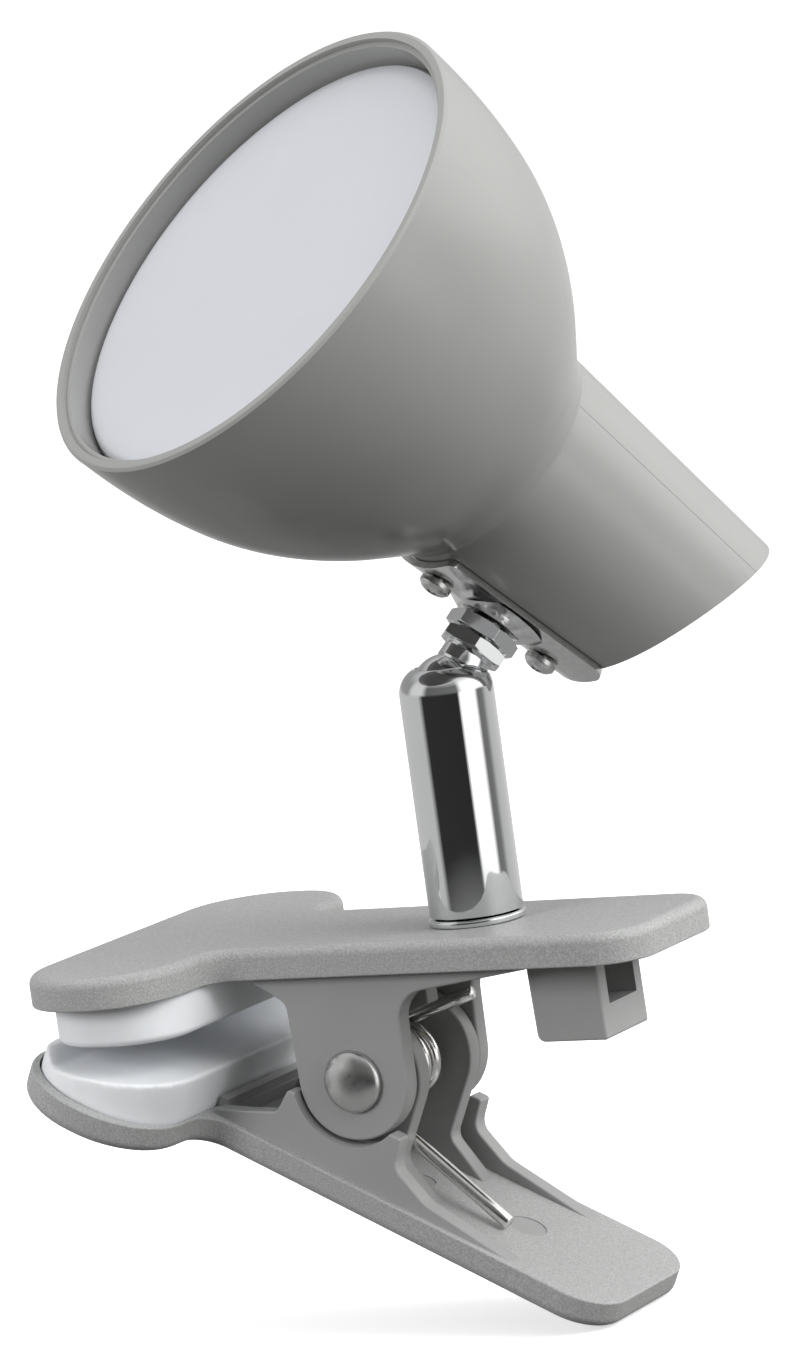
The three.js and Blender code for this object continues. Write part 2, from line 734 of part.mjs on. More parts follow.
// ---- assembly -----------------------------------------------------------------------
const FINISH = {
  armPlastic: [0x9a9b98, 0.0, 0.55],
  shadePlastic: [0x96968f, 0.0, 0.25],
  silicone: [0xe8eaec, 0.0, 0.45],
  opal: [0xe4e8ec, 0.0, 0.4],
  chrome: [0xd8dadb, 1.0, 0.1],
  zinc: [0xbfc1c2, 1.0, 0.3],
  spring: [0xb9b6ae, 1.0, 0.25],
  brass: [0xb89a5a, 1.0, 0.35],
  nylon: [0xd9d6cb, 0.0, 0.5],
  aluminium: [0xc4c6c8, 1.0, 0.45],
  board: [0xe9ebe6, 0.0, 0.5],
  driver: [0x3f6b4a, 0.0, 0.5],
  led: [0xf1e27a, 0.0, 0.4],
  dark: [0x2b2b2d, 0.0, 0.5],
  red: [0xa03028, 0.0, 0.5],
  black: [0x222224, 0.0, 0.5],
};

function place(group, name, body, matrix, finish) {
  const [color, metalness, roughness] = FINISH[finish];
  let g = geometryOf(body);
  g.applyMatrix4(matrix);
  g = mergeVertices(g, 1e-5);
  const mesh = new THREE.Mesh(g, new THREE.MeshStandardMaterial({ color, metalness, roughness }));
  mesh.name = name;
  group.add(mesh);
}

function build() {
  const lamp = new THREE.Group();
  const put = (name, body, matrix, finish) => place(lamp, name, body, matrix, finish);

  const clip = clipToRow;
  put('upper_arm', upperArm(), clip, 'armPlastic');
  put('upper_pad', upperPad(), clip, 'silicone');
  put('rivet_pin', ontoY(rivetPin()), clip, 'zinc');
  put('rivet_cap', ontoY(rivetCap()), clip, 'zinc');
  put('torsion_spring', torsionSpring(), clip, 'spring');
  put('post_sleeve', postSleeve(), clip, 'brass');
  put('post_washer', postWasher(), clip, 'zinc');
  put('post_nut', postNut(), clip, 'zinc');
  put('base_ring', baseRing(), clip, 'chrome');

  const arm = lowerArmToRow();
  put('lower_arm', lowerArm(), arm, 'armPlastic');
  put('lower_pad', lowerPad(), arm, 'silicone');

  const post = postToRow();
  put('post_tube', postTube(), post, 'chrome');
  put('post_spring', postSpring(), post, 'spring');
  put('friction_cup', frictionCup(), post, 'nylon');

  const stud = studToRow();
  put('ball_stud', ballStud(), stud, 'chrome');
  put('lock_nut', lockNut(), stud, 'chrome');
  put('stud_end_washer', endWasher(), stud, 'zinc');
  put('stud_end_nut', endNut(), stud, 'zinc');

  const head = headToRow();
  put('swivel_bracket', bracket(), head, 'chrome');
  put('bracket_screw_1', bracketScrew(1), head, 'zinc');
  put('bracket_screw_2', bracketScrew(-1), head, 'zinc');
  put('driver_board', driverBoard(), head, 'driver');
  put('driver_inductor', inductor(), head, 'dark');
  put('driver_capacitor', capacitor(), head, 'dark');
  put('driver_bridge', bridgeChip(), head, 'black');
  put('driver_fuse', fuseResistor(), head, 'nylon');

  const shade = shadeToRow();
  put('shade_shell', shadeShell(), shade, 'shadePlastic');
  put('diffuser', diffuser(), shade, 'opal');
  put('led_board', ledBoard(), shade, 'board');
  put('heat_spreader', heatSpreader(), shade, 'aluminium');
  for (let i = 0; i < 9; i += 1) put(`led_${i + 1}`, ledChip(i), shade, 'led');
  put('board_screw_1', boardScrew(1), shade, 'zinc');
  put('board_screw_2', boardScrew(-1), shade, 'zinc');
  put('lead_wire_1', leadWire(0), shade, 'red');
  put('lead_wire_2', leadWire(1), shade, 'black');
  return lamp;
}

export default build();
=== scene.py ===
"""Clip on reading lamp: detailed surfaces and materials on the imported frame.

Lengths in the shape code are millimetres in local frames (clip, lower arm, post, stud, head
and shade), which the matrices below carry into the part's own frame in metres.
"""
import math

import bmesh
import bpy
import numpy as np
from mathutils import Matrix, Vector


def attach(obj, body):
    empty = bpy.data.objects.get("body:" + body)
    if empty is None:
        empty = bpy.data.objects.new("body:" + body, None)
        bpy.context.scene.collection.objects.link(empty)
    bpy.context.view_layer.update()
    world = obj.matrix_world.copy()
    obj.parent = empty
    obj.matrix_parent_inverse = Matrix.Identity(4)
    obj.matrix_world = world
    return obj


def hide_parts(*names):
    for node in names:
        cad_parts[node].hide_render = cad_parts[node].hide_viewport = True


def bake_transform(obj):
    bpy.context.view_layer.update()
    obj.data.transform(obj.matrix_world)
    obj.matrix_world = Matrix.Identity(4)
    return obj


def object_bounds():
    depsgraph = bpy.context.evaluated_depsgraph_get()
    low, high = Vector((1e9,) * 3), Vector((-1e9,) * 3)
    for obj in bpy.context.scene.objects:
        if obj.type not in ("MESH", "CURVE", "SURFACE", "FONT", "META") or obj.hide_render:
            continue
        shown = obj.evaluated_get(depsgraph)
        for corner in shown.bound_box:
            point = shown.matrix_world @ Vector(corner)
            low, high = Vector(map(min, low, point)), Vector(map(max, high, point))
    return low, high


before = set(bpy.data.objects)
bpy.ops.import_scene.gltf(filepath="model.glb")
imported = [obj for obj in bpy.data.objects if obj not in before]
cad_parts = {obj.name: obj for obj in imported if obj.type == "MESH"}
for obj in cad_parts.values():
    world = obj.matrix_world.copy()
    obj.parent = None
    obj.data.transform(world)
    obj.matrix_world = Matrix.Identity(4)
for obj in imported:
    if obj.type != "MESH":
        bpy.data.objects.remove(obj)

cad_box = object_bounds()

# ---- local frames ---------------------------------------------------------------------
MM = 0.001
JAW_FACE = (-57.0, 0.0, -12.7)      # middle of the upper pad's face, the part's origin
RIVET_X, RIVET_Z = -19.8, -23.9     # axis of the hinge in the clip's frame
BALL_Z = 39.7                       # ball centre above the top of the clip
AXIS_Z, RIM_X = 35.8, 76.3          # shade axis and rim in the head's frame
ARM_ANGLE = 26.6                    # from the upper to the lower arm, clip closed
POST_ANGLE, TILT_ANGLE, TWIST_ANGLE = 52.75, 44.5, 187.8


def move(x, y, z):
    return Matrix.Translation((x, y, z))


def turn(degrees, axis):
    return Matrix.Rotation(math.radians(degrees), 4, axis)


CLIP = Matrix.Diagonal((MM, MM, MM, 1)) @ move(-JAW_FACE[0], -JAW_FACE[1], -JAW_FACE[2])
ARM = CLIP @ move(RIVET_X, 0, RIVET_Z) @ turn(ARM_ANGLE, "Y")
POST = CLIP @ turn(POST_ANGLE, "Z")
STUD = POST @ move(0, 0, BALL_Z) @ turn(TILT_ANGLE, "Y")
HEAD = STUD @ turn(TWIST_ANGLE, "Z")
SHADE = HEAD @ move(RIM_X, 0, AXIS_Z) @ turn(-90, "Y")


# ---- materials ------------------------------------------------------------------------
def srgb(r, g, b):
    """Linear colour of an 8 bit sRGB one."""
    def linear(v):
        v /= 255
        return v / 12.92 if v <= 0.04045 else ((v + 0.055) / 1.055) ** 2.4
    return (linear(r), linear(g), linear(b), 1.0)


def shaded(color, k):
    """The colour made k times as bright."""
    return (color[0] * k, color[1] * k, color[2] * k, 1.0)


class Finish:
    """A principled material with helpers for procedural detail in object space."""

    def __init__(self, name, color, metallic=0.0, roughness=0.5, **sockets):
        self.mat = bpy.data.materials.new(name)
        self.mat.use_nodes = True
        self.tree = self.mat.node_tree
        self.bsdf = self.tree.nodes["Principled BSDF"]
        self.color, self.roughness = color, roughness
        self.set("Base Color", color)
        self.set("Metallic", metallic)
        self.set("Roughness", roughness)
        for key, value in sockets.items():
            self.set(key.replace("_", " "), value)
        self.coords = self.tree.nodes.new("ShaderNodeTexCoord").outputs["Object"]
        self.normal = None

    def set(self, socket, value):
        self.bsdf.inputs[socket].default_value = value

    def link(self, a, b):
        self.tree.links.new(a, b)

    def stretched(self, scale):
        """Object coordinates scaled along each axis."""
        m = self.tree.nodes.new("ShaderNodeMapping")
        m.inputs["Scale"].default_value = scale
        self.link(self.coords, m.inputs["Vector"])
        return m.outputs["Vector"]

    def noise(self, size_mm, detail=2.0, rough=0.5, coords=None):
        """Noise whose grain is about size_mm across."""
        n = self.tree.nodes.new("ShaderNodeTexNoise")
        n.inputs["Scale"].default_value = 1.0 / (size_mm * MM)
        n.inputs["Detail"].default_value = detail
        n.inputs["Roughness"].default_value = rough
        self.link(coords or self.coords, n.inputs["Vector"])
        return n.outputs["Fac"]

    def remap(self, value, low, high, to_low, to_high):
        m = self.tree.nodes.new("ShaderNodeMapRange")
        m.clamp = True
        for socket, v in zip(("From Min", "From Max", "To Min", "To Max"),
                             (low, high, to_low, to_high)):
            m.inputs[socket].default_value = v
        self.link(value, m.inputs["Value"])
        return m.outputs["Result"]

    def tint(self, value, dark, light, low=0.35, high=0.65):
        """Base colour from dark to light as value goes from low to high."""
        ramp = self.tree.nodes.new("ShaderNodeValToRGB")
        ramp.color_ramp.elements[0].position = low
        ramp.color_ramp.elements[0].color = shaded(self.color, dark)
        ramp.color_ramp.elements[1].position = high
        ramp.color_ramp.elements[1].color = shaded(self.color, light)
        self.link(value, ramp.inputs["Fac"])
        self.link(ramp.outputs["Color"], self.bsdf.inputs["Base Color"])
        return self

    def rough(self, value, spread):
        """Roughness that varies by spread either way."""
        r = self.roughness
        self.link(self.remap(value, 0.3, 0.7, max(r - spread, 0.01), r + spread),
                  self.bsdf.inputs["Roughness"])
        return self

    def bump(self, value, height_mm, strength):
        """Fine relief, added to the relief that is already there."""
        b = self.tree.nodes.new("ShaderNodeBump")
        b.inputs["Distance"].default_value = height_mm * MM
        b.inputs["Strength"].default_value = strength
        self.link(value, b.inputs["Height"])
        if self.normal is not None:
            self.link(self.normal, b.inputs["Normal"])
        self.normal = b.outputs["Normal"]
        self.link(self.normal, self.bsdf.inputs["Normal"])
        return self


def plastic_grain():
    f = Finish("arm_plastic_grain", srgb(166, 167, 166), roughness=0.40)
    sparkle = f.noise(0.34, detail=3.0, rough=0.65)
    f.tint(sparkle, 0.86, 1.20, 0.40, 0.64)
    f.rough(f.noise(0.9), 0.06)
    f.bump(sparkle, 0.09, 0.8)
    f.bump(f.noise(14.0), 0.05, 0.3)
    return f.mat


def plastic_smooth():
    f = Finish("arm_plastic_smooth", srgb(158, 159, 158), roughness=0.36)
    f.tint(f.noise(22.0, detail=3.0), 0.97, 1.03)
    f.rough(f.noise(1.6), 0.05)
    f.bump(f.noise(0.22, detail=2.0), 0.012, 0.35)
    f.bump(f.noise(9.0), 0.03, 0.3)
    return f.mat


def shade_gloss():
    f = Finish("shade_plastic", srgb(158, 158, 156), roughness=0.22, IOR=1.49)
    f.tint(f.noise(30.0, detail=3.0), 0.985, 1.015)
    f.rough(f.noise(6.0, detail=4.0), 0.03)
    f.bump(f.noise(3.2, detail=1.0), 0.012, 0.25)
    f.bump(f.noise(0.25), 0.003, 0.2)
    return f.mat


def silicone():
    f = Finish("silicone", srgb(240, 242, 245), roughness=0.42)
    f.set("Subsurface Weight", 0.35)
    f.set("Subsurface Radius", (1.0, 0.9, 0.8))
    f.set("Subsurface Scale", 0.0018)
    f.tint(f.noise(12.0, detail=2.0), 0.975, 1.0)
    f.rough(f.noise(1.2), 0.05)
    f.bump(f.noise(0.5), 0.02, 0.25)
    return f.mat


def opal():
    f = Finish("opal_plastic", srgb(205, 207, 212), roughness=0.34)
    f.set("Subsurface Weight", 0.25)
    f.set("Subsurface Radius", (1.0, 0.95, 0.9))
    f.set("Subsurface Scale", 0.002)
    f.tint(f.noise(24.0, detail=2.0), 0.985, 1.0)
    f.rough(f.noise(0.8), 0.05)
    f.bump(f.noise(0.3, detail=1.0), 0.01, 0.3)
    return f.mat


def chrome():
    f = Finish("chrome", srgb(232, 233, 234), metallic=1.0, roughness=0.055)
    f.tint(f.noise(18.0, detail=2.0), 0.97, 1.0)
    f.rough(f.noise(2.4, detail=5.0, rough=0.7), 0.03)
    drawn = f.stretched((1.0, 1.0, 0.03))
    f.bump(f.noise(0.5, detail=3.0, coords=drawn), 0.004, 0.5)
    f.bump(f.noise(5.0), 0.006, 0.25)
    return f.mat


def nickel():
    f = Finish("chrome_satin", srgb(226, 226, 225), metallic=1.0, roughness=0.17)
    f.tint(f.noise(1.6, detail=3.0), 0.93, 1.02)
    f.rough(f.noise(0.8, detail=3.0), 0.06)
    f.bump(f.noise(2.2, detail=2.0), 0.012, 0.4)
    return f.mat


def zinc_steel():
    f = Finish("zinc_steel", srgb(212, 212, 211), metallic=1.0, roughness=0.3)
    f.tint(f.noise(2.6, detail=3.0), 0.96, 1.02)
    f.rough(f.noise(1.2, detail=3.0), 0.04)
    f.bump(f.noise(0.18, detail=2.0), 0.0015, 0.3)
    return f.mat


def spring_steel():
    f = Finish("spring_steel", srgb(236, 235, 233), metallic=1.0, roughness=0.2)
    f.tint(f.noise(0.8, detail=3.0), 0.94, 1.03)
    f.rough(f.noise(1.0, detail=3.0), 0.05)
    f.bump(f.noise(0.4), 0.0015, 0.3)
    return f.mat


def metal(name, color, roughness, grain):
    """Turned or pressed inner part with a grain of about grain mm."""
    f = Finish(name, color, metallic=1.0, roughness=roughness)
    f.tint(f.noise(3.0, detail=4.0), 0.9, 1.05)
    f.rough(f.noise(0.8, detail=3.0), 0.06)
    f.bump(f.noise(grain, detail=2.0), 0.006, 0.35)
    return f.mat


def plain(name, color, roughness, spot):
    """Moulded or coated inner part: faint mottling, soft sheen variation and a fine texture."""
    f = Finish(name, color, roughness=roughness)
    f.tint(f.noise(spot * 4, detail=3.0), 0.93, 1.04)
    f.rough(f.noise(spot), 0.06)
    f.bump(f.noise(spot * 0.3), 0.01, 0.3)
    return f.mat


def floor_material():
    f = Finish("floor_pale", srgb(247, 247, 247), roughness=0.6)
    f.tint(f.noise(260.0, detail=2.0), 0.995, 1.0)
    f.set("Emission Color", (1, 1, 1, 1))
    f.set("Emission Strength", 0.5)
    return f.mat


MAT = {
    "grain": plastic_grain(),
    "smooth": plastic_smooth(),
    "shade": shade_gloss(),
    "silicone": silicone(),
    "opal": opal(),
    "chrome": chrome(),
    "nickel": nickel(),
    "zinc": zinc_steel(),
    "spring": spring_steel(),
    "brass": metal("brass", srgb(186, 156, 96), 0.32, 0.3),
    "aluminium": metal("aluminium", srgb(198, 200, 203), 0.42, 0.25),
    "nylon": plain("nylon", srgb(219, 216, 204), 0.5, 0.8),
    "board_white": plain("board_white", srgb(233, 235, 231), 0.42, 0.7),
    "board_green": plain("board_green", srgb(52, 104, 66), 0.38, 0.5),
    "dark": plain("dark_plastic", srgb(42, 42, 45), 0.45, 0.6),
    "led": plain("led_phosphor", srgb(238, 222, 122), 0.45, 0.3),
    "red": plain("wire_red", srgb(166, 44, 36), 0.42, 0.5),
    "black": plain("wire_black", srgb(32, 32, 34), 0.42, 0.5),
}


# ---- outlines and solids ----------------------------------------------------------------
def rounded(corners, steps=10):
    """Closed counter-clockwise outline from corners (x, y) or (x, y, radius)."""
    out = []
    n = len(corners)
    for i, corner in enumerate(corners):
        p = np.array(corner[:2], float)
        r = corner[2] if len(corner) > 2 else 0.0
        if r <= 0:
            out.append(p)
            continue
        a = np.array(corners[i - 1][:2], float) - p
        b = np.array(corners[(i + 1) % n][:2], float) - p
        a, b = a / np.linalg.norm(a), b / np.linalg.norm(b)
        half = math.acos(max(-1.0, min(1.0, float(a @ b)))) / 2
        middle = (a + b) / np.linalg.norm(a + b)
        centre = p + middle * r / math.sin(half)
        u = p + a * r / math.tan(half) - centre
        v = p + b * r / math.tan(half) - centre
        sweep = math.atan2(u[0] * v[1] - u[1] * v[0], float(u @ v))
        for k in range(steps + 1):
            c, s = math.cos(sweep * k / steps), math.sin(sweep * k / steps)
            out.append(centre + np.array((c * u[0] - s * u[1], s * u[0] + c * u[1])))
    pts = np.array(out)
    x, y = pts[:, 0], pts[:, 1]
    if np.sum(x * np.roll(y, -1) - np.roll(x, -1) * y) < 0:
        pts = pts[::-1]
    keep = np.linalg.norm(pts - np.roll(pts, 1, axis=0), axis=1) > 1e-4
    return pts[keep]


def inset(pts, distance):
    """A counter-clockwise outline moved inwards."""
    def outward(d):
        n = np.stack((d[:, 1], -d[:, 0]), axis=1)
        return n / np.linalg.norm(n, axis=1)[:, None]
    before = outward(pts - np.roll(pts, 1, axis=0))
    after = outward(np.roll(pts, -1, axis=0) - pts)
    mitre = (before + after) / (1 + np.sum(before * after, axis=1))[:, None]
    return pts - mitre * distance


def linked(name, data):
    """New object in the scene."""
    obj = bpy.data.objects.new(name, data)
    bpy.context.scene.collection.objects.link(obj)
    return obj


def applied(obj):
    """Mesh of an object with its modifiers applied. The object itself goes."""
    deps = bpy.context.evaluated_depsgraph_get()
    result = bpy.data.meshes.new_from_object(obj.evaluated_get(deps))
    bpy.data.objects.remove(obj)
    return result


def data_of(verts, faces, material=None):
    """Closed mesh with its faces pointing out.

    With a material it carries both arm finishes, so that what is cut and joined keeps its own.
    """
    mesh = bpy.data.meshes.new("work")
    mesh.from_pydata([tuple(map(float, v)) for v in verts], [], faces)
    bm = bmesh.new()
    bm.from_mesh(mesh)
    bmesh.ops.remove_doubles(bm, verts=bm.verts, dist=1e-5)
    bmesh.ops.recalc_face_normals(bm, faces=bm.faces)
    if material is not None:
        index = 0 if material == "grain" else 1
        for f in bm.faces:
            f.material_index = index
        mesh.materials.append(MAT["grain"])
        mesh.materials.append(MAT["smooth"])
    bm.to_mesh(mesh)
    bm.free()
    return mesh


def stack_faces(rings, n):
    """Faces of rings of n points stacked on one another, with both ends closed."""
    faces = []
    for i in range(rings - 1):
        for j in range(n):
            k = (j + 1) % n
            faces.append((i * n + j, i * n + k, (i + 1) * n + k, (i + 1) * n + j))
    faces.append(tuple(range(n - 1, -1, -1)))
    faces.append(tuple(range((rings - 1) * n, rings * n)))
    return faces


def prism(corners, z0, z1, low=0.0, high=0.0, steps=10, rings=4, material=None, along="Z"):
    """Prism of an outline with rounded edges of radius low and high at its two ends.

    Along Y the outline is in XZ and the heights count towards the near side, -Y.
    """
    pts = rounded(corners, steps)
    quarter = [math.pi / 2 * (k / rings) for k in range(rings + 1)]
    levels = [(z0, 0.0)]
    if low:
        levels = [(z0 + low * (1 - math.cos(a)), low * (1 - math.sin(a))) for a in quarter]
    if high:
        levels += [(z1 - high * (1 - math.sin(a)), high * (1 - math.cos(a))) for a in quarter]
    else:
        levels.append((z1, 0.0))
    verts = []
    for z, d in levels:
        ring = inset(pts, d) if d > 1e-9 else pts
        verts += [(x, y, z) for x, y in ring]
    if along == "Y":
        verts = [(x, -z, y) for x, y, z in verts]
    return data_of(verts, stack_faces(len(levels), len(pts)), material)


def lathe(profile, segments=96, steps=5, material=None, angles=None):
    """Solid of revolution about Z from closed (radius, z) or (radius, z, fillet) corners."""
    pts = rounded(profile, steps)
    turns = angles or [2 * math.pi * j / segments for j in range(segments)]
    n = len(turns)
    verts, faces, rows = [], [], []
    for r, z in pts:
        if r < 1e-6:
            rows.append([len(verts)] * n)
            verts.append((0, 0, z))
        else:
            rows.append(list(range(len(verts), len(verts) + n)))
            verts += [(r * math.cos(a), r * math.sin(a), z) for a in turns]
    for a, b in zip(rows, rows[1:] + rows[:1]):
        for j in range(n):
            k = (j + 1) % n
            face = list(dict.fromkeys((a[j], a[k], b[k], b[j])))
            if len(face) > 2:
                faces.append(tuple(face))
    return data_of(verts, faces, material)


def block(x0, x1, y0, y1, z0, z1, material=None):
    return prism([(x0, y0), (x1, y0), (x1, y1), (x0, y1)], z0, z1, material=material)


def tube(points, radius, sides=14, end=0.25):
    """Round wire along points, with its ends slightly rounded."""
    pts = [Vector(p) for p in points]
    last = len(pts) - 1
    tangents = [(pts[min(i + 1, last)] - pts[max(i - 1, 0)]).normalized()
                for i in range(len(pts))]
    side = tangents[0].orthogonal().normalized()
    verts = []

    def ring(centre, t, r):
        other = t.cross(side)
        for j in range(sides):
            a = 2 * math.pi * j / sides
            verts.append(centre + side * (r * math.cos(a)) + other * (r * math.sin(a)))

    for i, (p, t) in enumerate(zip(pts, tangents)):
        side = (side - t * side.dot(t)).normalized()
        if i == 0:
            ring(p, t, radius - end)
            ring(p + t * end, t, radius)
        elif i == last:
            ring(p - t * end, t, radius)
            ring(p, t, radius - end)
        else:
            ring(p, t, radius)
    return data_of(verts, stack_faces(len(verts) // sides, sides))


def combine(base, tools, operation):
    """Base joined with, cut by or limited to each tool."""
    for tool in tools:
        host, other = linked("host", base), linked("other", tool)
        m = host.modifiers.new("solid", "BOOLEAN")
        m.object, m.operation, m.solver = other, operation, "EXACT"
        base = applied(host)
        bpy.data.objects.remove(other)
    return base


def joined(base, *tools):
    return combine(base, tools, "UNION")


def cut(base, *tools):
    return combine(base, tools, "DIFFERENCE")


def remeshed(mesh, voxel, smooth_rounds):
    """One even skin over a closed mesh, with its edges softened."""
    obj = linked("host", mesh)
    skin = obj.modifiers.new("skin", "REMESH")
    skin.mode, skin.voxel_size = "VOXEL", voxel
    soft = obj.modifiers.new("soft", "SMOOTH")
    soft.factor, soft.iterations = 0.5, smooth_rounds
    return applied(obj)


def softened(mesh, width, segments=2, angle=25.0):
    """Small rounded edges all over."""
    obj = linked("host", mesh)
    edge = obj.modifiers.new("edge", "BEVEL")
    edge.width, edge.segments = width, segments
    edge.limit_method, edge.angle_limit = "ANGLE", math.radians(angle)
    edge.use_clamp_overlap = True
    return applied(obj)


def placed(mesh, matrix):
    mesh.transform(matrix)
    return mesh


def piece(name, mesh, matrix, body, material=None, nodes=(), sharp=32.0, weight=True):
    """Finished visible object. Without a body it rides on none, as the spring does."""
    mesh.transform(matrix)
    mesh.name = name
    if material is not None:
        mesh.materials.clear()
        mesh.materials.append(MAT[material])
    obj = linked(name, mesh)
    mesh.polygons.foreach_set("use_smooth", [True] * len(mesh.polygons))
    mesh.set_sharp_from_angle(angle=math.radians(sharp))
    if weight:
        normals = obj.modifiers.new("normals", "WEIGHTED_NORMAL")
        normals.keep_sharp = True
        normals.weight = 80
    if body:
        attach(obj, body)
    if nodes:
        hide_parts(*nodes)
    return obj


# ---- clip -------------------------------------------------------------------------------
FRONT, BACK, LOWER_BACK = -72.7, 37.7, 36.8
STEP_X = -42.8                      # where the wide jaw steps in to the handle
JAW_HALF, HANDLE_HALF, END_HALF = 38.8, 17.2, 17.6
EDGE = 1.8                          # rounding of the arms' outer edges
PAD_FRONT, PAD_BACK, PAD_HALF = -69.9, -43.9, 34.2
UPPER_Z, INNER_Z = 0.0, -5.5        # outer and inner face of the upper arm
LOWER_Z, LOWER_INNER_Z = -21.2, -16.2    # the same of the lower arm, below the rivet
TRAY_Z = LOWER_Z + 2.2              # floor of the lower pad's tray
RIVET_FACE = 14.7                   # outer face of the outer ears


def mirrored(half):
    """Outline of a half with its mirror image across the middle plane."""
    return half + [(x, -y, r) for x, y, r in reversed(half)]


def arm_outline(dx=0.0, back=BACK):
    return mirrored([
        (FRONT + dx, JAW_HALF, 15), (STEP_X - 0.6 + dx, JAW_HALF, 13.5),
        (STEP_X + dx, HANDLE_HALF, 5), (back + dx, END_HALF, 8.5),
    ])


def pad_outline(grow=0.0, dx=0.0, back=None):
    """Outline of a pad, grown all round, or up to a given rear edge."""
    rear = PAD_BACK + grow if back is None else back
    return mirrored([
        (PAD_FRONT - grow + dx, PAD_HALF + grow, 12 + grow),
        (rear + dx, PAD_HALF + grow, 10 + grow),
    ])


def make_upper_arm():
    """Plate with hinge ears, cable inlet and stop, and the recesses for pad and post nut."""
    body = prism(arm_outline(), INNER_Z, UPPER_Z, 0.3, EDGE, steps=14, rings=6,
                 material="grain")
    r = 10.3
    ear = [
        (-39.5, -5.0), (-31.2, -10.2, 2.5), (RIVET_X - r, RIVET_Z - r, r - 0.05),
        (RIVET_X + r, RIVET_Z - r, r - 0.05), (RIVET_X + r + 0.2, -9.6, 5.5), (15.5, -6.2),
        (15.5, -5.0),
    ]
    inside, thick = 11.0, 3.6
    ears = [prism(ear, y, y + thick, 0.5, 0.5, steps=16, material="smooth", along="Y")
            for y in (inside, -inside - thick)]
    inlet = prism([(12.0, -4.8), (12.6, -19.9, 1.4), (25.7, -19.9, 0.5), (25.4, -4.8)],
                  -7.7, 7.7, 0.45, 0.45, steps=6, material="smooth", along="Y")
    stop = prism([(-12.2, -5), (-12.2, -14.3, 0.4), (-7.8, -12.7, 0.4), (-7.8, -5)], 3.2, 7.0,
                 0.3, 0.3, steps=4, material="smooth", along="Y")
    pad_recess = prism(pad_outline(0.2), -7, -4.0, steps=12, material="smooth")
    cable_hole = block(10.6, 27.4, -5, 5, -14.2, -6.6, material="smooth")
    post_hole = lathe([(0, -16), (7.6, -16), (7.6, -2.4), (5.35, -2.4), (5.35, 2), (0, 2)], 64,
                      material="smooth")
    return cut(joined(body, *ears, inlet, stop), pad_recess, cable_hole, post_hole)


def make_lower_arm():
    """Plate with pad tray, mould marks, side rails and inner ears, round the rivet."""
    dx = -RIVET_X
    inner = LOWER_INNER_Z
    plate = prism(arm_outline(dx, LOWER_BACK), LOWER_Z, inner, EDGE, 0.35, steps=14, rings=6,
                  material="grain")
    tray = prism(pad_outline(2.3, dx, -43.5), TRAY_Z, -10, steps=14, material="smooth")
    pocket = prism(mirrored([(-21.9, 12.2, 1), (-15.5, 12.2, 1)]), TRAY_Z, -10, steps=6,
                   material="smooth")
    marks = [placed(lathe([(0, inner - 0.14), (r, inner - 0.14), (r, 0), (0, 0)], 48,
                          material="smooth"), move(x, y, 0))
             for x, y, r in ((32.3, -0.6, 3.4), (12.6, -2.5, 2.0))]
    plate = cut(plate, tray, pocket, *marks)
    wall = block(-23.6, -22.1, -13.2, 13.2, LOWER_Z + 2, -14.2, material="smooth")
    rail = [
        (-23.5, inner - 1), (-22.4, -15.3, 0.5), (-16.9, -13.2, 2), (-11.4, -10.8, 1.5),
        (-10.6, -6.2, 0.8), (-6, -6.2), (6, -5.2), (11.9, -5.2, 0.5), (12.2, -10.4, 3),
        (19.5, -13.9, 6), (38.5, inner - 0.1), (38.5, inner - 1),
    ]
    gap_r = 11.1                    # room round the rivet for the outer ears
    gap = prism([(gap_r * math.cos(a), gap_r * math.sin(a))
                 for a in np.linspace(0, 2 * math.pi, 97)[:-1]],
                -20, 20, material="smooth", along="Y")
    inside, thick = 12.8, 3.4
    rails = [cut(prism(rail, y, y + thick, 0.35, 0.35, steps=6, material="smooth", along="Y"),
                 gap) for y in (inside, -inside - thick)]
    r = 10.7
    ear = [(-r - 6, inner - 1), (-r - 6, inner), (-r, inner, 5), (-r, r, r - 0.05),
           (r, r, r - 0.05), (r, -11.5, 2.5), (r + 8.5, inner), (r + 8.5, inner - 1)]
    inside, thick = 7.2, 3.5
    ears = [prism(ear, y, y + thick, 0.4, 0.4, steps=16, material="smooth", along="Y")
            for y in (inside, -inside - thick)]
    return joined(plate, wall, *rails, *ears)


def make_upper_pad():
    return prism(pad_outline(), JAW_FACE[2], -4.1, 1.2, 0.3, steps=14, rings=6)


def make_lower_pad():
    """Tray pad: a front lip that nearly meets the upper pad, and a top that falls rearwards."""
    body = prism(pad_outline(1.9, -RIVET_X, PAD_BACK), TRAY_Z + 0.1, 4, 1.2, steps=14, rings=6)
    lip_z = JAW_FACE[2] - 0.3
    side_view = [(-80, -60), (-80, lip_z), (-69.6, lip_z), (-66.8, -15.9), (-43, -20.8),
                 (-38, -60)]
    keep = placed(prism(side_view, -60, 60, along="Y"),
                  turn(-ARM_ANGLE, "Y") @ move(-RIVET_X, 0, -RIVET_Z))
    return remeshed(combine(body, [keep], "INTERSECT"), 0.45, 3)


def across(mesh):
    """From the lathe's Z axis to the rivet's axis, along Y."""
    return placed(mesh, move(RIVET_X, 0, RIVET_Z) @ turn(-90, "X"))


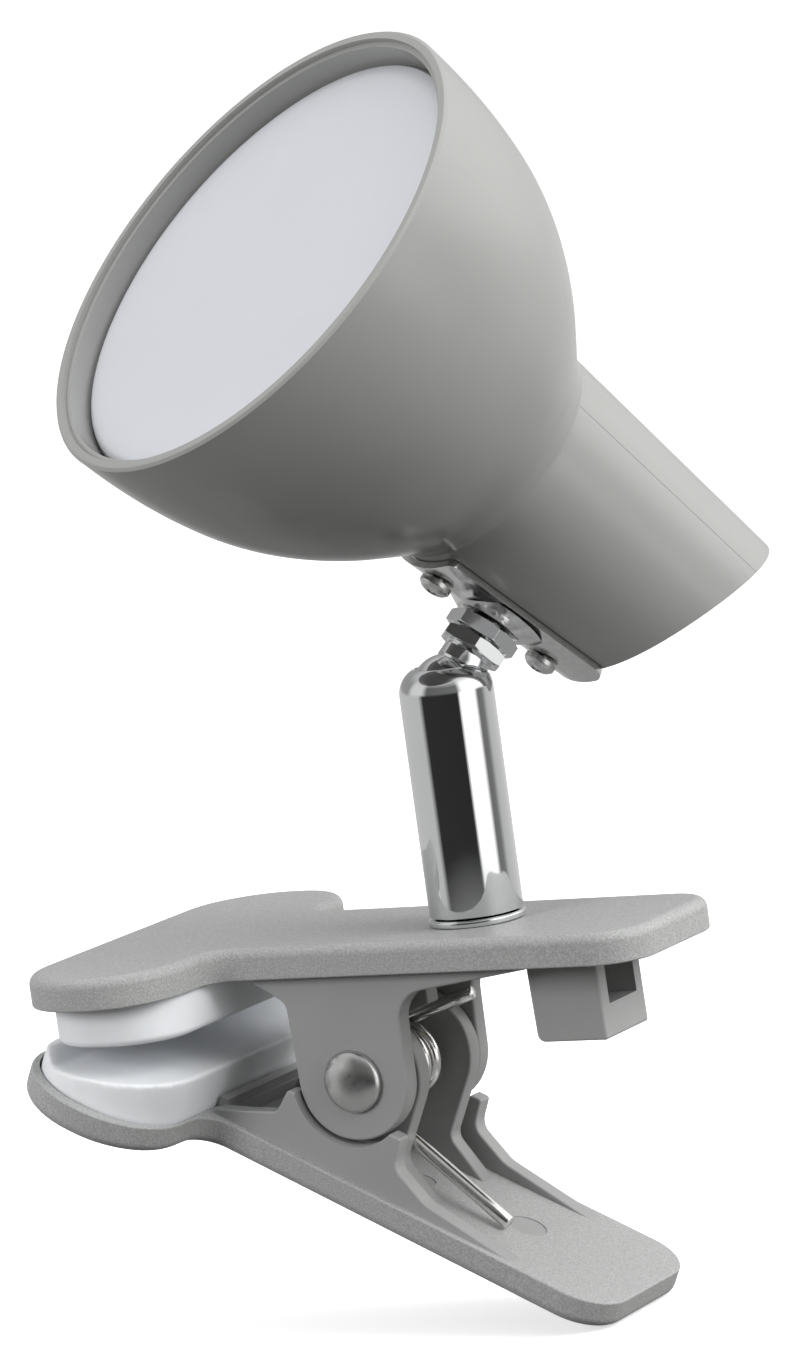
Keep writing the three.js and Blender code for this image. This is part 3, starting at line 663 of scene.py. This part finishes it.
def make_rivet_pin():
    """Pin with a domed head at its near end."""
    near, tip, pin_r, head_r, head_h, brim = -RIVET_FACE, 15.2, 2.5, 5.4, 2.3, 0.35
    dome = [(head_r * math.cos(a) ** 0.9, near - brim - (head_h - brim) * math.sin(a))
            for a in np.linspace(0, math.pi / 2, 14)[:-1]]
    return across(lathe([(pin_r, tip), (pin_r, near), (head_r - 0.15, near, 0.1),
                         (head_r, near - 0.2)] + dome + [(0, near - head_h), (0, tip)], 72))


def make_rivet_cap():
    """Pressed cap over the pin's far end."""
    f = RIVET_FACE
    return across(lathe([(2.62, f), (4.9, f, 0.15), (4.9, f + 0.7, 0.4), (3.6, f + 1.7, 0.8),
                         (1.2, f + 2.0, 0.5), (0, f + 1.9), (0, f + 1.1), (2.62, f + 1.1)], 64))


def tangent_angle(end, side, r):
    """Where on the coil a straight leg to end leaves it, on one side or the other."""
    dx, dz = end[0] - RIVET_X, end[1] - RIVET_Z
    return math.atan2(dz, dx) + side * math.acos(r / math.hypot(dx, dz))


def make_spring():
    """Torsion spring: a leg along the lower arm, the coil, and a leg to the upper arm's stop."""
    r, wire, half, coils, steps = 5.75, 1.24, 5.9, 4, 400
    a = math.radians(ARM_ANGLE)
    reach, rest = 31.2, LOWER_INNER_Z + wire + 0.2      # the lower leg's end, in the lower arm
    low_end = (RIVET_X + reach * math.cos(a) + rest * math.sin(a),
               RIVET_Z - reach * math.sin(a) + rest * math.cos(a))
    top_end = (-6.3, -13.45)
    low = tangent_angle(low_end, -1, r)
    top = tangent_angle(top_end, 1, r) - 2 * coils * math.pi

    def on_coil(angle, y):
        return Vector((RIVET_X + r * math.cos(angle), y, RIVET_Z + r * math.sin(angle)))

    def leg(angle, y, end):
        """Points from the coil out to the end of a leg."""
        return [on_coil(angle, y).lerp(Vector((end[0], y, end[1])), k)
                for k in (0.1, 0.2, 0.4, 0.6, 0.8, 1)]

    coil = [on_coil(low + (top - low) * i / steps, -half + 2 * half * i / steps)
            for i in range(steps + 1)]
    return tube(leg(low, -half, low_end)[::-1] + coil + leg(top, half, top_end), wire, 16)


# ---- post and stud ------------------------------------------------------------------------
POST_R, SHOULDER_Z, SHOULDER_R = 8.0, 39.2, 4.7
LEAN = math.radians(49.0)           # how far down the slot lets the stud lean
SLOT = 4.65                         # half width of the slot
THREAD_R, ROOT_R, PITCH = 3.9, 3.55, 0.8
STUD_END = 25.5


def arc(cx, cz, r, a0, a1, steps):
    """Points of an arc between two angles in degrees."""
    return [(cx + r * math.cos(math.radians(a)), cz + r * math.sin(math.radians(a)))
            for a in np.linspace(a0, a1, steps + 1)]


def make_post():
    """Tube with a rounded shoulder, a seat for the ball, and the slot the stud leans in."""
    profile = [
        (5.3, 1.5), (POST_R, 1.5, 0.4),
        *arc(POST_R - SHOULDER_R, SHOULDER_Z, SHOULDER_R, 0, 62, 14),
        (5.2, 43.5, 0.12), (5.0, 43.02, 0.1), *arc(0, BALL_Z, 6.0, 30, 8, 6), (7.0, 37.7),
        (7.0, 2.9), (5.3, 2.9),
    ]
    far = 16
    sector = [(0, 0), (0, far),
              (far * math.sin(LEAN / 2) * 1.2, far * math.cos(LEAN / 2) * 1.2),
              (far * math.sin(LEAN), far * math.cos(LEAN))]
    slot = placed(prism(sector, -SLOT, SLOT, along="Y"), move(0, 0, BALL_Z))
    round_end = placed(lathe([(0, 0), (SLOT, 0), (SLOT, far), (0, far)], 64),
                       Matrix.Rotation(LEAN, 4, "Y"))
    return cut(lathe(profile, 128, steps=4), slot, placed(round_end, move(0, 0, BALL_Z)))


def slot_lip():
    """Rolled edge of the slot, along the middle of the post's wall, just off the opening."""
    skin = 0.5                      # from the post's outside to the middle of its wall
    top = 3.6                       # top of the shoulder above the ball's centre
    first_lean = math.radians(27)   # where the slot's sides leave the opening at the top
    reach = SLOT + 0.3
    side = Vector((0, reach, 0))

    def wall(z):
        """Radius of the wall's middle at z from the ball's centre."""
        if z < -skin:
            return POST_R - skin
        return (POST_R - SHOULDER_R
                + math.sqrt(max((SHOULDER_R - skin) ** 2 - (z + skin) ** 2, 0.0)))

    def meet(direction, offset):
        """Where a line from beside the ball's centre comes to the wall."""
        t0, t1 = 1.0, 16.0
        for _ in range(40):
            t = (t0 + t1) / 2
            p = direction * t + offset
            t0, t1 = (t, t1) if math.hypot(p.x, p.y) < wall(min(p.z, top)) else (t0, t)
        return direction * t0 + offset

    def leaning(b):
        return Vector((math.sin(b), 0, math.cos(b)))

    lowest = Vector((math.cos(LEAN), 0, -math.sin(LEAN)))
    leans = np.linspace(first_lean, LEAN, 10)[:-1]
    points = [meet(leaning(b), side) for b in leans]
    points += [meet(leaning(LEAN), side * math.cos(p) + lowest * (reach * math.sin(p)))
               for p in np.linspace(0, math.pi, 41)]
    points += [meet(leaning(b), -side) for b in leans[::-1]]
    return placed(tube(points, 0.52, 14, 0.2), move(0, 0, BALL_Z))


def make_base_ring():
    return lathe([(5.4, 0.1), (8.3, 0.1, 0.2), (8.3, 1.25, 0.45), (5.4, 1.4)], 128, steps=6)


def hexagon(corner_r, z0, z1, phase):
    """Hexagonal nut with turned corners and softened edges, turned by phase degrees."""
    bore, chamfer, shift = THREAD_R + 0.05, 0.45, math.radians(phase)
    corners = [(corner_r * math.cos(shift + i * math.pi / 3),
                corner_r * math.sin(shift + i * math.pi / 3)) for i in range(6)]
    flat = corner_r * 0.866 + 0.1
    barrel = lathe([(0, z0), (flat, z0), (corner_r + 0.35, z0 + chamfer),
                    (corner_r + 0.35, z1 - chamfer), (flat, z1), (0, z1)], 96)
    body = combine(prism(corners, z0, z1), [barrel], "INTERSECT")
    hole = lathe([(0, z0 - 1), (bore, z0 - 1), (bore, z1 + 1), (0, z1 + 1)], 64)
    return softened(cut(body, hole), 0.12)


def make_stud():
    """Hollow ball, neck, and a grooved thread from its hexagon to its end."""
    bore = 1.8
    profile = [(bore, -5.45, 0.2), *arc(0, 0, 5.8, -68, 43, 24), (4.4, 4.4, 0.4), (4.35, 5.2),
               (4.35, 8.4), (THREAD_R, 8.9)]
    z = 9.6
    while z < STUD_END - 0.5:
        profile += [(THREAD_R, z), (ROOT_R, z + 0.25), (ROOT_R, z + 0.35), (THREAD_R, z + 0.6)]
        z += PITCH
    profile += [(THREAD_R, STUD_END - 0.4), (THREAD_R - 0.5, STUD_END), (bore, STUD_END)]
    return lathe(profile, 96, steps=4)


# ---- head -----------------------------------------------------------------------------------
SHEET, GAP, HALF = 1.2, 0.15, 8.3       # saddle: thickness, gap to the neck, half width
SCREW_X = 12.5                      # the saddle's screws, either side of the stud
NECK_T, NECK_R, TAPER = 61, 21.35, 0.0508       # start of the neck and its radius there
SEAT_R = 41.45                      # bore in the shade's mouth that holds the diffuser
SEAMS = (math.radians(58), math.radians(238))     # parting line of the mould
SEAM_DEPTH = 0.08
# Outside of the dome, as (distance behind the rim, radius).
DOME = [
    (0.5, 44.2), (6, 43.95), (12, 43.4), (20, 42.1), (28, 40.0), (34, 37.6), (40, 34.4),
    (46, 30.4), (51, 26.4), (55, 23.15), (57.0, 21.98), (57.7, 21.6), (58.5, 21.49),
    (60.0, 21.41),
]


def neck_radius(t):
    """Outer radius of the neck at t behind the rim."""
    return NECK_R - TAPER * (t - NECK_T)


def neck_face(x):
    """Height of the neck's lowest line at x along the head."""
    return AXIS_Z - neck_radius(RIM_X - x)


def make_bracket():
    """Pressed steel saddle: a strip bent round the neck, with rounded corners."""
    x0, x1, r0, r1 = -20.0, 17.0, 2.6, 1.4      # both ends and their corner radii
    xs = [x0 + r0 * (1 - math.cos(a)) for a in np.linspace(0, math.pi / 2, 15)]
    xs += list(np.linspace(x0 + r0, x1 - r1, 32))[1:-1]
    xs += [x1 - r1 * (1 - math.sin(a)) for a in np.linspace(0, math.pi / 2, 11)]

    def half_width(x):
        if x < x0 + r0:
            return HALF - r0 + math.sqrt(max(r0 ** 2 - (x0 + r0 - x) ** 2, 0.0))
        if x > x1 - r1:
            return HALF - r1 + math.sqrt(max(r1 ** 2 - (x - x1 + r1) ** 2, 0.0))
        return HALF

    rows, columns, verts, faces = 25, len(xs), [], []
    for add in (GAP, GAP + SHEET):
        for x in xs:
            r = neck_radius(RIM_X - x)
            h = half_width(x)
            for j in range(rows):
                a = math.asin(h * (2 * j / (rows - 1) - 1) / r)
                verts.append((x, (r + add) * math.sin(a), AXIS_Z - (r + add) * math.cos(a)))
    layer = rows * columns
    for i in range(columns - 1):
        for j in range(rows - 1):
            k = i * rows + j
            faces.append((k, k + rows, k + rows + 1, k + 1))
            faces.append((layer + k, layer + k + 1, layer + k + rows + 1, layer + k + rows))
    rim = list(range(rows))
    rim += [i * rows + rows - 1 for i in range(1, columns)]
    rim += [(columns - 1) * rows + j for j in range(rows - 2, -1, -1)]
    rim += [i * rows for i in range(columns - 2, 0, -1)]
    for a, b in zip(rim, rim[1:] + rim[:1]):
        faces.append((a, b, layer + b, layer + a))
    return softened(data_of(verts, faces), 0.3, 3, 50)


def make_bracket_boss():
    """Drawn boss of the saddle round the stud."""
    top = neck_face(0) - GAP - SHEET
    return lathe([(4.0, top + 0.9), (9.4, top + 1.2), (8.0, top + 0.25, 1.5), (6.2, top - 0.8, 1.2),
                  (4.6, top - 1.0, 0.2), (4.0, top - 0.7)], 96, steps=10)


def make_bracket_screw(side):
    """Pan head screw with a cross recess."""
    z = neck_face(side * SCREW_X) - GAP - SHEET - 0.25       # underside of the head
    shank_r, tip, head_r = 1.2, 22, 2.85
    screw = lathe([(0, tip), (shank_r, tip), (shank_r, z), (head_r, z, 0.12),
                   (head_r, z - 1.0, 0.5),
                   *[(2.5 * math.cos(a), z - 1.15 - 0.95 * math.sin(a))
                     for a in np.linspace(0.25, math.pi / 2, 9)[:-1]], (0, z - 2.1)], 64)
    slit = [(-1.55, z - 2.6), (1.55, z - 2.6), (0.5, z - 0.9), (-0.5, z - 0.9)]
    cross = [placed(prism(slit, -0.36, 0.36, along="Y"), turn(angle, "Z")) for angle in (20, 110)]
    return placed(cut(screw, *cross), move(side * SCREW_X, 0, 0))


def smooth_curve(points, per_span):
    """Smooth cubic through points (t, r), as (r, t) pairs."""
    t = np.array([p[0] for p in points], float)
    r = np.array([p[1] for p in points], float)
    slopes = np.gradient(r, t)
    out = []
    for i in range(len(t) - 1):
        h = t[i + 1] - t[i]
        for k in range(per_span):
            s = k / per_span
            a = (1 + 2 * s) * (1 - s) ** 2 * r[i] + s * (1 - s) ** 2 * h * slopes[i]
            b = s * s * (3 - 2 * s) * r[i + 1] + s * s * (s - 1) * h * slopes[i + 1]
            out.append((float(a + b), float(t[i] + s * h)))
    return out + [(float(r[-1]), float(t[-1]))]


def end_tool(shift=0.0):
    """Everything behind the slanted, slightly curved end of the neck."""
    middle, slant, curve, half, far = 100.25, 0.424, 0.00765, 24.5, 130
    corners = [(x, middle + slant * x + curve * x * x + shift)
               for x in np.linspace(-half, half, 41)]
    return prism(corners + [(half, far), (-half, far)], -30, 30, along="Y")


def rolled_end(mesh, radius):
    """Round the edge between the neck and its end, the only sharp one that far back."""
    sharp, behind = 0.7, 85
    bm = bmesh.new()
    bm.from_mesh(mesh)
    edges = [e for e in bm.edges if len(e.link_faces) == 2 and e.calc_face_angle() > sharp
             and min(v.co.z for v in e.verts) > behind]
    bmesh.ops.bevel(bm, geom=edges, offset=radius, segments=6, profile=0.5, affect="EDGES",
                    clamp_overlap=True)
    bm.to_mesh(mesh)
    bm.free()
    return mesh


def make_shade():
    """One moulding: dome, neck and closed slanted end, with a stepped lip round its mouth."""
    far, sides, seam_start = 118, 220, 58       # the neck is cut from a longer one
    outer = [(0, 0), (43.75, 0.0, 0.3)] + smooth_curve(DOME, 5)
    outer += [(neck_radius(t), t) for t in np.linspace(64, far, 10)] + [(0, far)]
    inner = [(0, -1), (42.45, -1), (42.45, 1.0), (SEAT_R, 1.0), (SEAT_R, 7.5), (39.6, 7.5),
             (39.4, 19.4), (35.6, 33.6), (28.4, 45.6), (20.2, 56.2, 1.0),
             (neck_radius(60.5) - 2.1, 60.5, 1.0), (neck_radius(far) - 2, far), (0, far)]
    angles = sorted({round(2 * math.pi * j / sides, 6) for j in range(sides)}
                    | {round(a + k * 0.003, 6) for a in SEAMS for k in (-3, -1, 0, 1, 3)})
    body = lathe(outer, angles=angles, steps=4)
    for v in body.vertices:
        angle = math.atan2(v.co.y, v.co.x) % (2 * math.pi)
        if v.co.z > seam_start and min(abs(angle - a) for a in SEAMS) < 0.001:
            k = 1 - SEAM_DEPTH / math.hypot(v.co.x, v.co.y)
            v.co.x, v.co.y = v.co.x * k, v.co.y * k
    shell = cut(rolled_end(cut(body, end_tool()), 1.5), cut(lathe(inner, 180), end_tool(-2.2)))
    from_head = turn(90, "Y") @ move(-RIM_X, 0, -AXIS_Z)
    holes = [placed(lathe([(0, 8), (r, 8), (r, 22.6), (0, 22.6)], 32), from_head @ move(x, 0, 0))
             for x, r in ((0, THREAD_R + 0.15), (SCREW_X, 1.3), (-SCREW_X, 1.3))]
    return cut(shell, *holes)


def make_diffuser():
    """Opal disc, slightly crowned, with a rounded rim and a short skirt behind it."""
    return lathe([(0, 3.6), (20, 3.66), (34, 3.86), (37.6, 4.05), (39.4, 4.4), (40.6, 5.0),
                  (41.2, 6.0), (41.2, 7.4, 0.1), (39.8, 7.4, 0.1), (39.8, 6.0), (0, 6.0)],
                 180, steps=6)


# ---- pieces ---------------------------------------------------------------------------------
piece("upper_arm_moulding", make_upper_arm(), CLIP, "clip_body", nodes=["upper_arm"])
piece("lower_arm_moulding", make_lower_arm(), ARM, "lower_jaw", nodes=["lower_arm"])
piece("upper_grip_pad", make_upper_pad(), CLIP, "clip_body", "silicone", ["upper_pad"])
piece("lower_grip_pad", make_lower_pad(), ARM, "lower_jaw", "silicone", ["lower_pad"],
      sharp=80, weight=False)
piece("hinge_rivet", make_rivet_pin(), CLIP, "clip_body", "zinc", ["rivet_pin"])
piece("hinge_rivet_cap", make_rivet_cap(), CLIP, "clip_body", "zinc", ["rivet_cap"])
spring = piece("hinge_spring", make_spring(), CLIP, None, "spring", ["torsion_spring"],
               sharp=50, weight=False)
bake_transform(spring)
piece("post_base_ring", make_base_ring(), CLIP, "clip_body", "chrome", ["base_ring"])
piece("post_shell", make_post(), POST, "post", "chrome", ["post_tube"], weight=False)
piece("post_slot_lip", slot_lip(), POST, "post", "chrome", sharp=50, weight=False)
piece("ball_stud_turned", make_stud(), STUD, "stud", "chrome", ["ball_stud"],
      sharp=50, weight=False)
piece("stud_hexagon", hexagon(6.3, 7.2, 9.5, 10), STUD, "stud", "chrome")
piece("stud_lock_nut", hexagon(6.6, 9.9, 12.45, 28), STUD, "stud", "chrome", ["lock_nut"])
piece("saddle_bracket", make_bracket(), HEAD, "head", "nickel", ["swivel_bracket"],
      sharp=60)
piece("saddle_boss", make_bracket_boss(), HEAD, "head", "nickel", sharp=60)
for number, side in ((1, 1), (2, -1)):
    piece(f"saddle_screw_{number}", make_bracket_screw(side), HEAD, "head", "zinc",
          [f"bracket_screw_{number}"])
piece("shade_moulding", make_shade(), SHADE, "head", "shade", ["shade_shell"],
      sharp=38)
piece("front_diffuser", make_diffuser(), SHADE, "head", "opal", ["diffuser"])

# Inner pieces keep their own shapes and get a finish each.
INSIDE = {
    "brass": ["post_sleeve"],
    "zinc": ["post_washer", "post_nut", "stud_end_washer", "stud_end_nut", "board_screw_1",
             "board_screw_2"],
    "spring": ["post_spring"],
    "nylon": ["friction_cup", "driver_fuse"],
    "board_green": ["driver_board"],
    "dark": ["driver_inductor", "driver_capacitor"],
    "black": ["driver_bridge", "lead_wire_2"],
    "red": ["lead_wire_1"],
    "board_white": ["led_board"],
    "aluminium": ["heat_spreader"],
    "led": [f"led_{i}" for i in range(1, 10)],
}
for finish_name, names in INSIDE.items():
    for node_name in names:
        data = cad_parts[node_name].data
        data.materials.clear()
        data.materials.append(MAT[finish_name])


# ---- floor, lights and camera -----------------------------------------------------------------
CEILING = (0.72, 0.72, 0.73, 1)
GROUND = (0.08, 0.078, 0.075, 1)
GROUND_SHINE = (0.36, 0.36, 0.36, 1)        # the ground as shiny surfaces see it
BACKDROP = (1.1, 1.1, 1.1, 1)
SURROUND_STRENGTH = 0.9


def make_floor(z):
    """Pale floor out to the horizon, which gives no light and is in no reflection."""
    half = 400.0
    mesh = bpy.data.meshes.new("floor")
    mesh.from_pydata([(-half, -half, z), (half, -half, z), (half, half, z), (-half, half, z)], [],
                     [(0, 1, 2, 3)])
    mesh.materials.append(floor_material())
    obj = linked("floor", mesh)
    obj.visible_diffuse = obj.visible_glossy = False


def area_light(name, location, target, size, watts):
    """Square soft light towards target, which reflections leave out."""
    data = bpy.data.lights.new(name, "AREA")
    data.shape = "RECTANGLE"
    data.size = data.size_y = size
    data.energy = watts
    obj = linked(name, data)
    obj.location = location
    obj.rotation_mode = "QUATERNION"
    obj.rotation_quaternion = (Vector(target) - Vector(location)).to_track_quat("-Z", "Y")
    obj.visible_glossy = False


def banded(tree, stops):
    """Ramp of grey levels over the azimuth in degrees, 0 towards the viewer."""
    node = tree.nodes.new("ShaderNodeValToRGB")
    elements = node.color_ramp.elements
    while len(elements) < len(stops):
        elements.new(0.5)
    for element, (degrees, value) in zip(elements, stops):
        element.position = degrees / 360 + 0.5
        element.color = (value, value, value * 0.99, 1)
    return node


def mixed(tree, factor, a, b):
    """Mix of two colours by a socket. Each colour is a value or a socket."""
    node = tree.nodes.new("ShaderNodeMix")
    node.data_type = "RGBA"
    tree.links.new(factor, node.inputs["Factor"])
    for name, color in (("A", a), ("B", b)):
        if isinstance(color, tuple):
            node.inputs[name].default_value = color
        else:
            tree.links.new(color, node.inputs[name])
    return node.outputs["Result"]


def make_world():
    """Studio surround: bands round the horizon, a pale ceiling, a dark ground, and plain
    white behind the object."""
    world = bpy.data.worlds.new("studio")
    world.use_nodes = True
    tree = world.node_tree
    background = tree.nodes["Background"]
    coords = tree.nodes.new("ShaderNodeTexCoord")
    spin = tree.nodes.new("ShaderNodeMapping")
    spin.inputs["Rotation"].default_value = (0, 0, math.radians(60))
    around = tree.nodes.new("ShaderNodeTexGradient")
    around.gradient_type = "RADIAL"
    bands = banded(tree, [(-180, 0.66), (-76, 0.62), (-64, 0.035), (24, 0.03), (31, 1.5),
                          (68, 1.5), (78, 0.2), (92, 0.22), (106, 0.6), (180, 0.85)])
    walls = banded(tree, [(-180, 0.4), (-112, 0.35), (-96, 0.8), (-66, 0.8), (-52, 0.15),
                          (24, 0.2), (42, 1.8), (110, 1.6), (140, 0.8), (180, 0.4)])
    split = tree.nodes.new("ShaderNodeSeparateXYZ")
    rays = tree.nodes.new("ShaderNodeLightPath").outputs
    links = tree.links
    links.new(coords.outputs["Generated"], spin.inputs["Vector"])
    links.new(spin.outputs["Vector"], around.inputs["Vector"])
    for ramp in (bands, walls):
        links.new(around.outputs["Fac"], ramp.inputs["Fac"])
    links.new(coords.outputs["Generated"], split.inputs["Vector"])
    ground = mixed(tree, rays["Is Glossy Ray"], GROUND, GROUND_SHINE)
    color = bands.outputs["Color"]
    # Each layer fades in between two heights of the direction's Z.
    for start, end, other in ((-0.02, 0.12, walls.outputs["Color"]), (0.5, 0.85, CEILING),
                              (-0.27, -0.4, ground)):
        height = tree.nodes.new("ShaderNodeMapRange")
        height.inputs["From Min"].default_value = start
        height.inputs["From Max"].default_value = end
        links.new(split.outputs["Z"], height.inputs["Value"])
        color = mixed(tree, height.outputs["Result"], color, other)
    links.new(mixed(tree, rays["Is Camera Ray"], color, BACKDROP), background.inputs["Color"])
    background.inputs["Strength"].default_value = SURROUND_STRENGTH
    bpy.context.scene.world = world


def make_camera():
    """Long lens a little above the object, rolled slightly."""
    data = bpy.data.cameras.new("camera")
    data.lens, data.sensor_width = 165.5, 36.0
    data.clip_start, data.clip_end = 0.05, 1000.0
    obj = linked("camera", data)
    right = Vector((0.86591, 0.48139, -0.13586)).normalized()
    up = Vector((0.06032, 0.16914, 0.98374))
    up = (up - right * up.dot(right)).normalized()
    back = right.cross(up)
    place = Matrix((right, up, back)).transposed().to_4x4()
    place.translation = Vector((0.5701, -0.9036, 0.1778))
    obj.matrix_world = place
    bpy.context.scene.camera = obj


make_floor(cad_box[0].z - 0.5 * MM)
make_world()
for light_name, location, size, watts in (("key", (1.3, 0.1, 0.75), 0.9, 14.5),
                                          ("top", (0.2, 0.2, 1.4), 1.2, 8.0),
                                          ("front", (-0.55, -1.35, 0.62), 0.6, 12.5)):
    area_light(light_name, location, (0.04, 0.0, 0.08), size, watts)
make_camera()
bpy.context.scene.view_settings.view_transform = "Standard"
